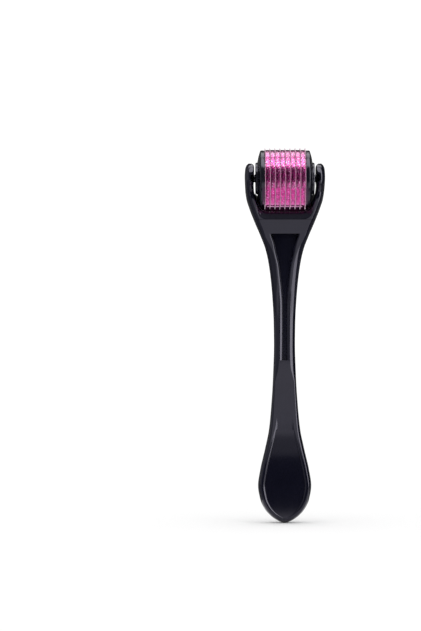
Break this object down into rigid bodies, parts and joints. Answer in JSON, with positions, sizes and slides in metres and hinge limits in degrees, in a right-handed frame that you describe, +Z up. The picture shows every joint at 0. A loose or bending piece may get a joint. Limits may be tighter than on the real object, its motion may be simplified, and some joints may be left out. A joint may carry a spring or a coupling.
{
  "type": "derma roller",
  "caption": "Slim handle with a fork that carries a snap-in roller of needle discs and spacer rings, rolled over skin by hand.",
  "frame": {"origin": "the handle's rounded tip, which is the bottom centre of the bounding box", "axes": "+Z up the handle to the roller, X along the roller's axle, the front face with the grip looks along -Y"},
  "size_m": [0.0302, 0.0234, 0.141],
  "materials": {
    "handle_black": "glossy black moulded ABS",
    "cap_black": "glossy black moulded plastic",
    "spacer_magenta": "glossy magenta plastic",
    "needle_steel": "polished stainless steel"
  },
  "bodies": {
    "handle": {"handle_body": "handle_black", "front_cover": "handle_black"},
    "roller": {"drum_core": "cap_black", "end_cap_left": "cap_black", "end_cap_right": "cap_black", "needle_disc_1": "needle_steel", "needle_disc_2": "needle_steel", "needle_disc_3": "needle_steel", "needle_disc_4": "needle_steel", "needle_disc_5": "needle_steel", "needle_disc_6": "needle_steel", "needle_disc_7": "needle_steel", "needle_disc_8": "needle_steel", "needle_disc_9": "needle_steel", "spacer_ring_1": "spacer_magenta", "spacer_ring_2": "spacer_magenta", "spacer_ring_3": "spacer_magenta", "spacer_ring_4": "spacer_magenta", "spacer_ring_5": "spacer_magenta", "spacer_ring_6": "spacer_magenta", "spacer_ring_7": "spacer_magenta", "spacer_ring_8": "spacer_magenta"}
  },
  "joints": [
    {"name": "roller_spin", "type": "hinge", "parent": "handle", "child": "roller", "pos_m": [0, 0, 0.1293], "axis": [1, 0, 0], "continuous": true}
  ]
}
